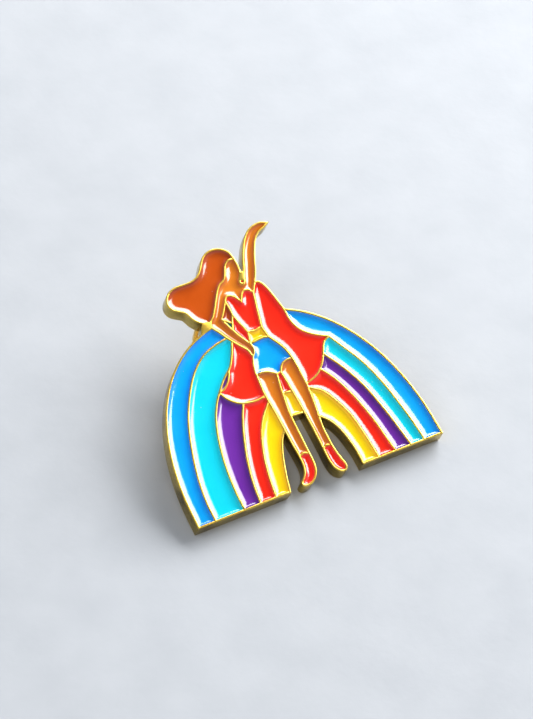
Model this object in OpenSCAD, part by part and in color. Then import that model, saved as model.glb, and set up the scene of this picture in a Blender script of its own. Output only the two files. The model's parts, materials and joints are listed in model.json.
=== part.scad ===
// Soft-enamel lapel pin: a caped dancer in front of a rainbow arch, with a butterfly clutch behind.
// It lies at rest: the lower edge of the badge and the two wing tips stand on one flat surface.
// Millimetres. The badge is drawn flat, face up, and place() then leans it to its resting tilt.
// Origin: on the post's axis, where the bare shank leaves the post's pad. +X to the badge's right,
// +Z up from the surface it lies on.

/* [Badge] */
// Overall width across the feet of the arch
badge_w = 32.2; // [24:0.1:44]
// Overall height from the feet to the raised hand
badge_h = 31.9; // [24:0.1:44]
// Thickness of the struck plate, line tops included
plate_t = 2.0; // [1.5:0.1:3]
// Width of the raised lines between the colours
line_w = 0.24; // [0.16:0.01:0.3]
// Depth of the struck cells that hold the colours
cell_depth = 0.9; // [0.6:0.05:1.2]
// Drop from the line tops to the edge of the enamel
enamel_drop = 0.12; // [0.05:0.01:0.3]

/* [Post] */
// Place of the post along the lower edge, from the badge's middle
post_x = 0.5; // [-1:0.1:1.5]
// Height of the post above the badge's lower edge
post_y = 19.5; // [17:0.1:22]
// Radius of the post's shank
post_r = 0.55; // [0.4:0.01:0.7]
// Length of the post from the back of the badge to its point
post_len = 6.0; // [5:0.1:9]
// Length of the sharpened point
point_len = 1.3; // [0.8:0.1:1.4]
// Depth of the grip groove below the shank
groove_depth = 0.17; // [0.05:0.01:0.25]
// How far before the clutch's base the grip groove starts
groove_lead = 0.1; // [0.05:0.01:0.3]
// Radius of the pad at the foot of the post
pad_r = 2.2; // [1.5:0.1:2.6]
// Thickness of the pad
pad_t = 0.35; // [0.2:0.05:0.6]
// Width of the solder fillet around the pad
solder_w = 0.5; // [0.3:0.05:0.8]

/* [Clutch] */
// Bare shank left between the pad and the clutch, where the cloth goes
cloth_gap = 1.1; // [0.8:0.1:2]
// Thickness of the stamped sheet in the base and the cover
sheet_t = 0.3; // [0.2:0.01:0.4]
// Outer radius of the cover
cover_r = 3.2; // [2.6:0.1:4]
// Outer radius of the cover's nose
nose_r = 1.9; // [1.6:0.1:2.3]
// Length of the cover's nose
nose_len = 1.3; // [0.8:0.1:1.6]
// Width of the rim that fixes the cover to the base
flange_w = 1.0; // [0.6:0.1:1.4]
// Width of the base left bare between the cover's rim and the bead
rim_w = 0.7; // [0.2:0.1:1.5]
// Radius of the bead rolled around the base
bead_r = 0.4; // [0.25:0.01:0.6]

/* [Jaws and wings] */
// Thickness of the jaw plates and wings
jaw_t = 0.3; // [0.2:0.01:0.4]
// Width of the jaw plates and wings
jaw_w = 3.4; // [2.6:0.1:4.2]
// How far each wing is squeezed in to let the post go
squeeze = 0.5; // [0.2:0.05:0.6]
// How far the wing tips reach past the post's point
wing_past = 0.3; // [0.1:0.1:1]
// Outward flare of the wings
wing_flare = 28; // [15:1:30]
// Radius of the ring spring's wire
wire_r = 0.17; // [0.1:0.01:0.2]

/* [Clearances] */
// Running clearance between the post and the holes that guide it
post_gap = 0.08; // [0.03:0.01:0.1]
// Clearance between the jaws' grip edges and the shank
grip_gap = 0.03; // [0.01:0.01:0.06]
// Clearance between stacked moving plates
stack_gap = 0.06; // [0.03:0.01:0.1]
// Clearance around the wings in the cover's slots
slot_gap = 0.12; // [0.05:0.01:0.2]
// Clearance between the cover's wall and the bend of each wing
bend_gap = 0.1; // [0.05:0.01:0.3]
// Room left beyond each jaw's heel when its wing is squeezed right in
heel_gap = 0.25; // [0.1:0.05:0.4]

/* [Hidden] */

round_fn = 64;     // facets on a full circle in the preview
chord = 0.55;      // longest straight step along a drawn curve
eps = 0.01;        // overcut that keeps cuts clean

// ---- The drawing's own grid: 32 wide and 31.6 high along the middles of the outer lines ----
grid_w = 32;
grid_h = 31.6;
scale_x = (badge_w - line_w) / grid_w;
scale_y = (badge_h - line_w) / grid_h;

// A point of the drawing, in millimetres from the middle of the badge's lower edge
function at(p) = [p.x * scale_x, line_w / 2 + p.y * scale_y];
function drawn(pts) = [for (p = pts) at(p)];

// The arch's outer line is a superellipse: its point above the grid's x, and its left or right leg
arch_a = 16;
arch_b = 21.8;
arch_n = 2.2;
function arch_point(x) = [x, arch_b * pow(max(0, 1 - pow(abs(x) / arch_a, arch_n)), 1 / arch_n)];
function arch_turn(x) = acos(pow(abs(x) / arch_a, arch_n / 2));
function arch_leg(side, top_x, n = 9) = [for (k = [0:n])
    let (turn = k / n * arch_turn(top_x))
    [side * arch_a * pow(cos(turn), 2 / arch_n), arch_b * pow(sin(turn), 2 / arch_n)]];

// ---- Lines of the drawing, each a few points that a smooth curve passes through ----
// Where the colour lines of the arch meet its feet, left foot and right foot, outside to inside
foot_left = [-16, -13.8, -10.1, -8, -6, -4.2];
foot_right = [16, 13.7, 11.9, 9.8, 7.55, 5.5];

web = [-4.15, 21.95];
elbow = arch_point(-3.1);
arch_out_left = drawn(concat(arch_leg(-1, 4.6), [arch_point(-3.8), elbow]));
cape_on_arch = arch_point(5.95);
arch_out_right = drawn(arch_leg(1, 5.95));

blue_cyan_left = drawn([[foot_left[1], 0], [-13.75, 2.3], [-13.3, 5.3], [-12.4, 8.6], [-11.2, 11.8],
    [-9.7, 14.5], [-7.9, 16.9], [-5.9, 18.6], [-3.9, 19.4], [-2.05, 19.75]]);
cyan_purple_left = drawn([[foot_left[2], 0], [-10, 2.7], [-9.6, 5.8], [-8.9, 8.7], [-8, 11.1],
    [-7, 12.8], [-6.1, 13.9], [-4.8, 15.25], [-3.7, 16.1]]);
purple_red_left = drawn([[foot_left[3], 0], [-7.65, 2.5], [-7, 5.2], [-5.95, 8.1], [-5, 10.2],
    [-4.1, 11.75]]);
red_yellow_left = drawn([[foot_left[4], 0], [-5.6, 2.5], [-4.95, 5], [-4, 7.4], [-2.8, 9.3],
    [-1.22, 10.9]]);
inner_left = drawn([[foot_left[5], 0], [-3.5, 2.5], [-2.7, 4.7], [-1.9, 6.2], [-1.15, 7.1]]);

blue_cyan_right = drawn([[foot_right[1], 0], [13.45, 2.6], [13, 5.6], [12.4, 8.6], [11.5, 11.4],
    [10.2, 14], [9.3, 15.7]]);
cyan_purple_right = drawn([[foot_right[2], 0], [11.6, 1.9], [11.15, 4.7], [10.25, 8.6], [9, 11.6],
    [7.65, 13.95]]);
purple_red_right = drawn([[foot_right[3], 0], [9.55, 1.9], [9.15, 4.9], [8.4, 8.1], [7.4, 10.7],
    [6.4, 12.35]]);
red_yellow_right = drawn([[foot_right[4], 0], [7.35, 3.2], [7, 5.9], [6.3, 8], [5.4, 9.7],
    [3.93, 10.8]]);
inner_right = drawn([[foot_right[5], 0], [5.5, 1.5], [5.35, 3], [5.05, 4.6], [4.4, 6.1], [3.4, 7.2]]);

red_yellow_middle = drawn([[0.78, 11.2], [1.98, 11.05]]);
inner_middle = drawn([[0.33, 8.3], [2.05, 8.2]]);

hair_out = drawn([[3.4, 28.6], [3.25, 29.4], [2.75, 30], [2, 30.35], [1.2, 30.4], [0.4, 30.15],
    [-0.3, 29.55], [-0.9, 28.75], [-1.6, 28.05], [-2.6, 27.65], [-3.8, 27.6], [-4.9, 27.6],
    [-5.8, 27.25], [-6.4, 26.6], [-6.6, 25.9], [-6.35, 25.2], [-5.7, 24.7], [-5.1, 24.3],
    [-4.8, 23.6], [-4.4, 22.9], [-3.8, 22.4], [-3, 22.15]]);
hairline = drawn([[3.4, 28.6], [2.7, 28.55], [2.1, 28.15], [1.65, 27.4], [1.3, 26.8], [0.9, 26.4],
    [0.35, 26.15], [-0.15, 25.7], [-0.75, 24.95], [-1.5, 23.85], [-2.3, 22.8], [-3, 22.15]]);
// Face, throat, round the chin's drop and up the raised arm to its finger tips
face_and_arm = drawn([[3.4, 28.6], [3.43, 27.7], [3.35, 26.9], [3.05, 26.2], [2.72, 25.75],
    [2.7, 25.35], [2.98, 25.18], [3.26, 25.45], [3.5, 26.05], [3.85, 26.75], [4.2, 27.5],
    [4.65, 28.45], [5.3, 29.55], [6, 30.5], [6.8, 31.2], [7.7, 31.55], [8.6, 31.6], [9.35, 31.3]]);
throat_notch = [3.5, 26.5];
arm_under = drawn([[3.55, 23.8], [3.95, 24.4], [4.4, 25.05], [4.95, 26], [5.5, 27.1], [6, 28.2],
    [6.55, 29.2], [7.2, 30.1], [8, 30.7], [8.7, 30.95], [9.35, 31.3]]);
chin_drop = at([2.98, 25.55]);
chin_drop_r = 0.14;

upper_arm = drawn([[-0.05, 24.05], [-0.8, 23], [-1.55, 22.05]]);
forearm_left = drawn([[-3, 22.15], elbow, [-2.6, 20.75], [-2.05, 19.75], [-1.7, 19.2], [-1.05, 18.3],
    [-0.55, 17.6], [-0.4, 17.1], [-0.3, 16.55]]);
forearm_right = drawn([[-1.55, 22.05], [-1.3, 21.3], [-0.95, 20.3], [-0.5, 19.3], [-0.1, 18.6],
    [0.15, 18.1], [0.25, 17.7], [0.15, 17.1], [-0.3, 16.55]]);
shoulder_cape = drawn([[-0.95, 20.3], [-0.6, 21.2], [-0.05, 22.3]]);
elbow_patch = drawn([[-1.55, 22.05], [-0.6, 21.2]]);

neck_left = drawn([[-0.05, 24.05], [0.3, 24.45], [0.75, 24.45], [1.25, 24.05], [1.7, 23.3]]);
neck_right = drawn([[1.7, 23.3], [2.05, 23.95], [2.5, 24.4], [2.95, 24.45], [3.35, 24.2], [3.55, 23.8]]);
bodice_left = drawn([[-0.05, 24.05], [-0.05, 23.2], [-0.05, 22.3], [0.1, 21.3], [0.4, 20.3], [0.6, 19.6]]);
belt_left = drawn([[0.6, 19.6], [0.45, 19], [0.15, 18.1]]);
belt_top = drawn([[0.6, 19.6], [1.5, 19.45], [2.45, 19.65]]);
belt_bottom = drawn([[0.15, 18.1], [1.2, 18.25], [2, 18.3], [2.65, 18.15]]);
// The figure's right side, from the armpit to the right ankle
right_side = drawn([[3.55, 23.8], [3.3, 22.9], [3, 21.8], [2.7, 20.6], [2.45, 19.65], [2.5, 18.9],
    [2.65, 18.15], [3.2, 17.2], [3.7, 16.1], [3.95, 14.8], [4, 13], [3.97, 11.3], [3.93, 10.8],
    [3.7, 9], [3.4, 7.2], [3.15, 5.5], [3.1, 3.4]]);
// The figure's left side, from the hand on the hip to the left ankle
left_side = drawn([[-0.3, 16.55], [-0.65, 15.8], [-0.9, 15], [-1, 14.35], [-1.15, 13], [-1.25, 11.6],
    [-1.22, 10.9], [-1.15, 9], [-1.15, 7.1], [-1.15, 5.3], [-1.1, 3.45]]);
thigh_left = drawn([[-1, 14.35], [-0.3, 14.4], [0.4, 14.25], [1, 13.9], [1.3, 13.65]]);
gusset = drawn([[1.3, 13.65], [1.85, 13.65]]);
thigh_right = drawn([[1.85, 13.65], [2.15, 14.15], [2.6, 14.6], [3.2, 14.8], [3.95, 14.8]]);
inseam_left = drawn([[1.3, 13.65], [1, 12.4], [0.78, 11.2], [0.5, 9.7], [0.33, 8.3], [0.25, 6.5],
    [0.2, 5], [0.15, 3.45]]);
inseam_right = drawn([[1.85, 13.65], [1.95, 12.4], [1.98, 11.05], [2.05, 9.6], [2.05, 8.2],
    [2.05, 6], [2, 3.35]]);
ankle_left = drawn([[-1.1, 3.45], [-0.5, 3.7], [0.15, 3.45]]);
ankle_right = drawn([[2, 3.35], [2.5, 3.6], [3.1, 3.4]]);
shoe_left = drawn([[0.15, 3.45], [0.1, 2.2], [-0.2, 1.15], [-0.8, 0.4], [-1.5, 0.05], [-2.2, 0.1],
    [-2.35, 0.5], [-1.85, 0.95], [-1.4, 1.6], [-1.15, 2.5], [-1.1, 3.45]]);
shoe_right = drawn([[3.1, 3.4], [3.2, 2.3], [3.4, 1.25], [3.5, 0.6], [3.2, 0.1], [2.7, 0.15],
    [2.25, 0.6], [2, 1.3], [1.95, 2.3], [2, 3.35]]);

cape_out = drawn([[4.4, 25.05], [4.95, 24.7], [5.3, 24], [5.55, 23], [5.75, 21.9], cape_on_arch,
    [5.97, 19.5], [6.15, 18.5], [6.6, 17.6], [7.4, 16.8], [8.4, 16.15], [9.3, 15.7]]);
cape_hem = drawn([[9.3, 15.7], [8.5, 15.25], [8.05, 14.65], [7.65, 13.95], [7.1, 13.1], [6.4, 12.35],
    [5.6, 11.8], [4.8, 11.5], [3.97, 11.3]]);
cape_left_out = drawn([[-1.7, 19.2], [-2.5, 17.7], [-3.25, 16.55], [-3.7, 16.1]]);
cape_left_tip = drawn([[-3.7, 16.1], [-4.4, 14.95], [-5.2, 14.2], [-6.1, 13.9]]);
cape_left_hem = drawn([[-6.1, 13.9], [-5.65, 13], [-4.95, 12.25], [-4.1, 11.75], [-2.7, 11.5], [-1.25, 11.6]]);

// ---- Curves and insets ----
// Point at share t of the way from point i to point i + 1 of a smooth curve through all the points
function smooth(p, i, t) =
    let (a = i > 0 ? p[i - 1] : 2 * p[i] - p[i + 1],
         d = i + 2 < len(p) ? p[i + 2] : 2 * p[i + 1] - p[i])
    (2 * p[i] + (p[i + 1] - a) * t + (2 * a - 5 * p[i] + 4 * p[i + 1] - d) * t * t
        + (3 * p[i] - a - 3 * p[i + 1] + d) * t * t * t) / 2;

// The stretch of a line from its point number a to its point number b, either way round
function backwards(path) = [for (i = [len(path) - 1:-1:0]) path[i]];
function stretch(p, a, b) = a > b ? backwards(stretch(p, b, a)) :
    [for (i = [a:b - 1])
        let (n = len(p) < 3 ? 1 : max(2, ceil(norm(p[i + 1] - p[i]) / chord)))
        for (k = [0:n - 1]) smooth(p, i, k / n),
     p[b]];
function whole(p) = stretch(p, 0, len(p) - 1);
function reversed(p) = stretch(p, len(p) - 1, 0);

function flatten(lists) = [for (l = lists) for (p = l) p];
function twice_area(p) = let (n = len(p))
    [for (i = 0, s = 0; i <= n; s = s + (i < n ? cross(p[i], p[(i + 1) % n]) : 0), i = i + 1) s][n];
function normal(a, b) = let (d = (b - a) / norm(b - a)) [-d.y, d.x];

// The path moved sideways by d, to the left of its own direction
function beside(p, d) = [for (i = [0:len(p) - 1])
    let (before = normal(p[max(i - 1, 0)], p[max(i, 1)]),
         after = normal(p[min(i, len(p) - 2)], p[min(i + 1, len(p) - 1)]))
    p[i] + d * (before + after) / (1 + before * after)];

// Where the straight steps a-b and c-d cross: the shares along each, or undef
function crossing(a, b, c, d) =
    let (r = b - a, s = d - c, k = cross(r, s))
    abs(k) < 1e-9 ? undef :
    let (t = cross(c - a, s) / k, u = cross(c - a, r) / k)
    t < 0 || t > 1 || u < 0 || u > 1 ? undef : t;

// The corner between path p and the path q that follows it: last step of p, first step of q, point
function corner(p, q) =
    let (hits = [for (i = [len(p) - 2:-1:0]) for (j = [0:len(q) - 2])
            let (t = crossing(p[i], p[i + 1], q[j], q[j + 1]))
            if (t != undef) [i, j, p[i] + t * (p[i + 1] - p[i])]])
    len(hits) > 0 ? hits[0] : [len(p) - 1, -1, mitre(p, q)];

// Sharp outer corner of two paths that don't cross, unless it would stand out too far
function mitre(p, q) =
    let (a = p[len(p) - 2], b = p[len(p) - 1], c = q[0], d = q[1], k = cross(b - a, d - c))
    abs(k) < 1e-6 ? b :
    let (m = a + cross(c - a, d - c) / k * (b - a))
    norm(m - b) < 3 * line_w ? m : (b + c) / 2;

// A closed outline made of sides that follow each other, moved inwards by d (outwards if negative)
function inset(sides, d) =
    let (turn = sign(twice_area(flatten(sides))),
         moved = [for (s = sides) beside(s, d * turn)],
         n = len(moved),
         ends = [for (k = [0:n - 1]) corner(moved[k], moved[(k + 1) % n])],
         raw = flatten([for (k = [0:n - 1])
             let (from = ends[(k + n - 1) % n][1] + 1, to = ends[k][0])
             [for (i = [from:1:to]) moved[k][i], ends[k][2]]]))
    [for (i = [0:len(raw) - 1])
        if (norm(raw[i] - raw[(i + len(raw) - 1) % len(raw)]) > eps) raw[i]];

function foot_line(a, b) = drawn([[a, 0], [b, 0]]);
function ray(a, b) = [a, b];

// ---- The outline of the badge and the outline of each colour ----
outline_sides = [
    stretch(arch_out_left, 0, 9),
    ray(arch_out_left[9], at(web)),
    ray(at(web), hair_out[20]),
    stretch(hair_out, 20, 0),
    stretch(face_and_arm, 0, 2),
    ray(face_and_arm[2], at(throat_notch)),
    ray(at(throat_notch), face_and_arm[9]),
    stretch(face_and_arm, 9, 17),
    stretch(arm_under, 10, 2),
    stretch(cape_out, 0, 5),
    reversed(arch_out_right),
    foot_line(foot_right[0], foot_right[5]),
    whole(inner_right),
    stretch(right_side, 14, 16),
    whole(shoe_right),
    stretch(inseam_right, 6, 4),
    reversed(inner_middle),
    stretch(inseam_left, 4, 7),
    whole(shoe_left),
    stretch(left_side, 10, 8),
    reversed(inner_left),
    foot_line(foot_left[5], foot_left[0])
];

// A colour of the arch's feet lies between two lines, from the feet up
function band(outer, inner, feet, i, top) =
    concat([foot_line(feet[i + 1], feet[i]), outer], top, [inner]);

colours = [
    ["blue_left", band(whole(arch_out_left), reversed(blue_cyan_left), foot_left, 0,
        [stretch(forearm_left, 1, 3)])],
    ["cyan_left", band(whole(blue_cyan_left), stretch(cyan_purple_left, 8, 0), foot_left, 1,
        [stretch(forearm_left, 3, 4), whole(cape_left_out)])],
    ["purple_left", band(stretch(cyan_purple_left, 0, 6), reversed(purple_red_left), foot_left, 2,
        [stretch(cape_left_hem, 0, 3)])],
    ["purple_sliver", [stretch(cyan_purple_left, 6, 8), whole(cape_left_tip)]],
    ["red_left", band(whole(purple_red_left), reversed(red_yellow_left), foot_left, 3,
        [stretch(cape_left_hem, 3, 5), stretch(left_side, 5, 6)])],
    ["yellow_left", band(whole(red_yellow_left), reversed(inner_left), foot_left, 4,
        [stretch(left_side, 6, 8)])],
    ["red_middle", [reversed(gusset), stretch(inseam_left, 0, 2), whole(red_yellow_middle),
        stretch(inseam_right, 2, 0)]],
    ["yellow_middle", [reversed(red_yellow_middle), stretch(inseam_left, 2, 4), whole(inner_middle),
        stretch(inseam_right, 4, 2)]],
    ["blue_right", band(whole(arch_out_right), reversed(blue_cyan_right), foot_right, 0,
        [stretch(cape_out, 5, 11)])],
    ["cyan_right", band(whole(blue_cyan_right), reversed(cyan_purple_right), foot_right, 1,
        [stretch(cape_hem, 0, 3)])],
    ["purple_right", band(whole(cyan_purple_right), reversed(purple_red_right), foot_right, 2,
        [stretch(cape_hem, 3, 5)])],
    ["red_right", band(whole(purple_red_right), reversed(red_yellow_right), foot_right, 3,
        [stretch(cape_hem, 5, 8), stretch(right_side, 11, 12)])],
    ["yellow_right", band(whole(red_yellow_right), reversed(inner_right), foot_right, 4,
        [stretch(right_side, 12, 14)])],
    ["teal", [whole(elbow_patch), stretch(shoulder_cape, 1, 0), stretch(forearm_right, 2, 0)]],
    ["hair", [whole(hair_out), reversed(hairline)]],
    ["hair_patch", [whole(upper_arm), whole(elbow_patch), stretch(shoulder_cape, 1, 2),
        stretch(bodice_left, 2, 0)]],
    ["skin", [whole(face_and_arm), reversed(arm_under), reversed(neck_right), reversed(neck_left),
        whole(upper_arm), whole(forearm_right), reversed(forearm_left), reversed(hairline)]],
    ["bodice", [whole(neck_left), whole(neck_right), stretch(right_side, 0, 4), reversed(belt_top),
        reversed(bodice_left)]],
    ["belt", [whole(belt_top), stretch(right_side, 4, 6), reversed(belt_bottom), reversed(belt_left)]],
    ["shorts", [whole(belt_bottom), stretch(right_side, 6, 9), reversed(thigh_right),
        reversed(gusset), reversed(thigh_left), stretch(left_side, 3, 0), stretch(forearm_right, 8, 5)]],
    ["leg_left", [whole(thigh_left), whole(inseam_left), reversed(ankle_left),
        stretch(left_side, 10, 3)]],
    ["leg_right", [whole(thigh_right), stretch(right_side, 9, 16), reversed(ankle_right),
        reversed(inseam_right)]],
    ["shoe_left", [whole(ankle_left), whole(shoe_left)]],
    ["shoe_right", [whole(ankle_right), whole(shoe_right)]],
    ["cape_right", [whole(cape_out), whole(cape_hem), stretch(right_side, 11, 0),
        stretch(arm_under, 0, 2)]],
    ["cape_left", [whole(cape_left_out), whole(cape_left_tip), whole(cape_left_hem),
        stretch(left_side, 5, 0), stretch(forearm_left, 8, 4)]],
    ["cape_upper", [stretch(bodice_left, 2, 5), whole(belt_left), stretch(forearm_right, 5, 2),
        whole(shoulder_cape)]]
];

// ---- Heights, all measured along the post from its pad's face; the clutch lies below zero ----
back_z = pad_t;
top_z = back_z + plate_t;
cell_z = top_z - cell_depth;
enamel_t = cell_depth - enamel_drop;
point_z = back_z - post_len;
base_front_z = -cloth_gap;
base_back_z = base_front_z - sheet_t;
jaw_left_z = base_back_z - stack_gap - jaw_t;
jaw_right_z = jaw_left_z - stack_gap - jaw_t;
ring_z = jaw_right_z - stack_gap - wire_r;
shoulder_z = ring_z - wire_r;
nose_z = shoulder_z - sheet_t - nose_len;
groove_z = base_front_z + groove_lead;
groove_end_z = shoulder_z;
wing_reach = post_len + wing_past;
tip_z = back_z - wing_reach;

// ---- Sizes across the clutch, from the post outwards ----
hole_r = post_r + post_gap;
ring_r = (cover_r - sheet_t + nose_r - sheet_t) / 2;
flange_r = cover_r + flange_w;
clutch_r = flange_r + rim_w + 2 * bead_r;
wing_r = jaw_w / 2;
heel_x = sqrt(pow(cover_r - sheet_t, 2) - wing_r * wing_r) - squeeze - heel_gap;
bend_x = cover_r + jaw_t / 2 + bend_gap;

// Where a wing's tip arc is centred, and the tilt at which the wing tips and the badge's lower
// edge stand on one surface
wing_drop = wing_reach - wing_r * cos(wing_flare);
tilt_tangent = let (p = post_y, h = wing_drop, r = wing_r, c = cos(wing_flare))
    (p * h + sqrt(p * p * h * h - (p * p - r * r) * (h * h - r * r * c * c))) / (p * p - r * r);
rest_tilt = atan(tilt_tangent);

module place() {
    rotate([rest_tilt, 0, 0]) children();
}

module drawn_flat(z, height) {
    translate([-post_x, -post_y, z]) linear_extrude(height) children();
}

module colour_outline(name) {
    polygon(inset(colours[search([name], colours)[0]][1], line_w / 2));
}

// ---- Struck plate ----
module base_plate() {
    color("gold") place() difference() {
        drawn_flat(back_z, plate_t) polygon(inset(outline_sides, -line_w / 2));
        for (c = colours) drawn_flat(cell_z, cell_depth + eps) colour_outline(c[0]);
        drawn_flat(cell_z, cell_depth + eps) translate(chin_drop) circle(chin_drop_r, $fn = 24);
    }
}

// ---- Enamel fills ----
module enamel(name, tint) {
    color(tint) place() drawn_flat(cell_z, enamel_t) colour_outline(name);
}

module enamel_chin_drop() {
    color("red") place() drawn_flat(cell_z, enamel_t) translate(chin_drop) circle(chin_drop_r, $fn = 24);
}

// ---- Post and its solder ----
module post() {
    color("gold") place() rotate_extrude($fn = round_fn) polygon([
        [0, back_z], [pad_r, back_z], [pad_r, 0], [post_r, 0], [post_r, groove_z],
        [post_r - groove_depth, groove_z - groove_depth],
        [post_r - groove_depth, groove_end_z + groove_depth], [post_r, groove_end_z],
        [post_r, point_z + point_len], [0, point_z]
    ]);
}

module solder() {
    color("silver") place() rotate_extrude($fn = round_fn)
        polygon([[pad_r, back_z], [pad_r + solder_w, back_z], [pad_r, 0]]);
}

// ---- Butterfly clutch ----
module clutch_base() {
    color("goldenrod") place() rotate_extrude($fn = round_fn) {
        translate([hole_r, base_back_z]) square([clutch_r - bead_r - hole_r, sheet_t]);
        translate([clutch_r - bead_r, base_front_z - bead_r]) circle(bead_r, $fn = 32);
    }
}

module clutch_cover() {
    slot_w = jaw_w + 2 * slot_gap;
    wall_slot_x = sqrt(pow(cover_r - sheet_t, 2) - slot_w * slot_w / 4);
    floor_slot_x = ring_r + wire_r + stack_gap;
    color("goldenrod") place() difference() {
        rotate_extrude($fn = round_fn) polygon([
            [cover_r - sheet_t, base_back_z], [flange_r, base_back_z],
            [flange_r, base_back_z - sheet_t], [cover_r, base_back_z - sheet_t],
            [cover_r, shoulder_z - sheet_t], [nose_r, shoulder_z - sheet_t], [nose_r, nose_z],
            [hole_r, nose_z], [hole_r, nose_z + sheet_t], [nose_r - sheet_t, nose_z + sheet_t],
            [nose_r - sheet_t, shoulder_z], [cover_r - sheet_t, shoulder_z]
        ]);
        for (side = [0, 1]) mirror([side, 0, 0]) {
            translate([wall_slot_x, -slot_w / 2, shoulder_z])
                cube([flange_r, slot_w, base_back_z - shoulder_z + eps]);
            translate([floor_slot_x, -slot_w / 2, shoulder_z - sheet_t - eps])
                cube([flange_r, slot_w, sheet_t + 2 * eps]);
        }
    }
}

// One jaw: a flat plate with an oval slot, gripping the post on its far side and bent down into a wing
module jaw_wing(side, z) {
    middle_z = z + jaw_t / 2;
    leaf_len = (middle_z - tip_z - jaw_t / 2 * sin(wing_flare)) / cos(wing_flare);
    grip_x = post_gap - grip_gap;
    free_x = squeeze + stack_gap - post_gap;
    color("goldenrod") place() mirror([side < 0 ? 1 : 0, 0, 0]) {
        difference() {
            translate([-heel_x, -jaw_w / 2, z]) cube([heel_x + bend_x, jaw_w, jaw_t]);
            for (x = [grip_x, free_x]) translate([x, 0, z - eps])
                cylinder(r = hole_r, h = jaw_t + 2 * eps, $fn = round_fn);
            translate([grip_x, -hole_r, z - eps])
                cube([free_x - grip_x, 2 * hole_r, jaw_t + 2 * eps]);
        }
        translate([bend_x, 0, middle_z]) rotate([90, 0, 0])
            cylinder(r = jaw_t / 2, h = jaw_w, center = true, $fn = 32);
        translate([bend_x, 0, middle_z]) rotate([0, 90 - wing_flare, 0])
            translate([0, 0, -jaw_t / 2]) linear_extrude(jaw_t) {
                translate([0, -wing_r]) square([leaf_len - wing_r, jaw_w]);
                translate([leaf_len - wing_r, 0]) circle(wing_r, $fn = round_fn);
            }
    }
}

module jaw_wing_left() jaw_wing(-1, jaw_left_z);
module jaw_wing_right() jaw_wing(1, jaw_right_z);

module clutch_spring() {
    color("silver") place() rotate_extrude($fn = round_fn)
        translate([ring_r, ring_z]) circle(wire_r, $fn = 24);
}

base_plate();
enamel("blue_left", "dodgerblue");  // enamel_blue_left
enamel("cyan_left", "cyan");  // enamel_cyan_left
enamel("purple_left", "rebeccapurple");  // enamel_purple_left
enamel("purple_sliver", "rebeccapurple");  // enamel_purple_sliver
enamel("red_left", "red");  // enamel_red_left
enamel("yellow_left", "yellow");  // enamel_yellow_left
enamel("red_middle", "red");  // enamel_red_middle
enamel("yellow_middle", "yellow");  // enamel_yellow_middle
enamel("blue_right", "dodgerblue");  // enamel_blue_right
enamel("cyan_right", "cyan");  // enamel_cyan_right
enamel("purple_right", "rebeccapurple");  // enamel_purple_right
enamel("red_right", "red");  // enamel_red_right
enamel("yellow_right", "yellow");  // enamel_yellow_right
enamel("teal", "teal");  // enamel_teal
enamel("hair", "chocolate");  // enamel_hair
enamel("hair_patch", "chocolate");  // enamel_hair_patch
enamel("skin", "sandybrown");  // enamel_skin
enamel_chin_drop();
enamel("bodice", "red");  // enamel_bodice
enamel("belt", "yellow");  // enamel_belt
enamel("shorts", "dodgerblue");  // enamel_shorts
enamel("leg_left", "sandybrown");  // enamel_leg_left
enamel("leg_right", "sandybrown");  // enamel_leg_right
enamel("shoe_left", "red");  // enamel_shoe_left
enamel("shoe_right", "red");  // enamel_shoe_right
enamel("cape_right", "red");  // enamel_cape_right
enamel("cape_left", "red");  // enamel_cape_left
enamel("cape_upper", "red");  // enamel_cape_upper
post();
solder();
clutch_base();
clutch_cover();
jaw_wing_left();
jaw_wing_right();
clutch_spring();
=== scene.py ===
"""A gold-plated soft-enamel pin at rest on a pale studio table, with its butterfly clutch."""
import json
import math

import bpy
import numpy as np
from mathutils import Matrix, Vector
from mathutils.geometry import delaunay_2d_cdt
from mathutils.kdtree import KDTree


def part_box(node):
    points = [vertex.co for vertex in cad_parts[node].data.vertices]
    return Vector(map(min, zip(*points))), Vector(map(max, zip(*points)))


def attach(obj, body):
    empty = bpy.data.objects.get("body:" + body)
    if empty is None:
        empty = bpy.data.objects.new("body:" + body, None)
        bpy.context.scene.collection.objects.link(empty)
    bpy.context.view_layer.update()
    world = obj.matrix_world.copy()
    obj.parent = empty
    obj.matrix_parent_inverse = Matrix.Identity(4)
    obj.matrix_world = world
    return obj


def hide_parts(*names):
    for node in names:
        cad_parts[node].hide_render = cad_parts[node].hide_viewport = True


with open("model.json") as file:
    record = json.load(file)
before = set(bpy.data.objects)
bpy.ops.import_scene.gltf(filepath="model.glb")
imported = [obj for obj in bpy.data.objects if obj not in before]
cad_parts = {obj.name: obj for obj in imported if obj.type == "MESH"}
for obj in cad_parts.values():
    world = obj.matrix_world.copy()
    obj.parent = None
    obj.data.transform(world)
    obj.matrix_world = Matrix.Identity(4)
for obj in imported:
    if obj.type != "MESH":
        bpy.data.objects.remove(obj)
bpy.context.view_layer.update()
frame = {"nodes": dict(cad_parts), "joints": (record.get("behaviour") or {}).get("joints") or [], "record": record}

MM = 0.001
SAME_LEVEL = 0.002        # levels closer than this, in millimetres, are one level
scene = bpy.context.scene

# ---- The flat frame: the badge lies face up with the post's axis upright, in millimetres ----
pull = next(j for j in frame["joints"] if j["name"] == "badge_pull")["axis"]
REST_TILT = math.atan2(-pull[1], pull[2])
LEAN = Matrix.Rotation(REST_TILT, 4, "X")
LEAN_ROWS = np.array(LEAN.to_3x3())


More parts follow.
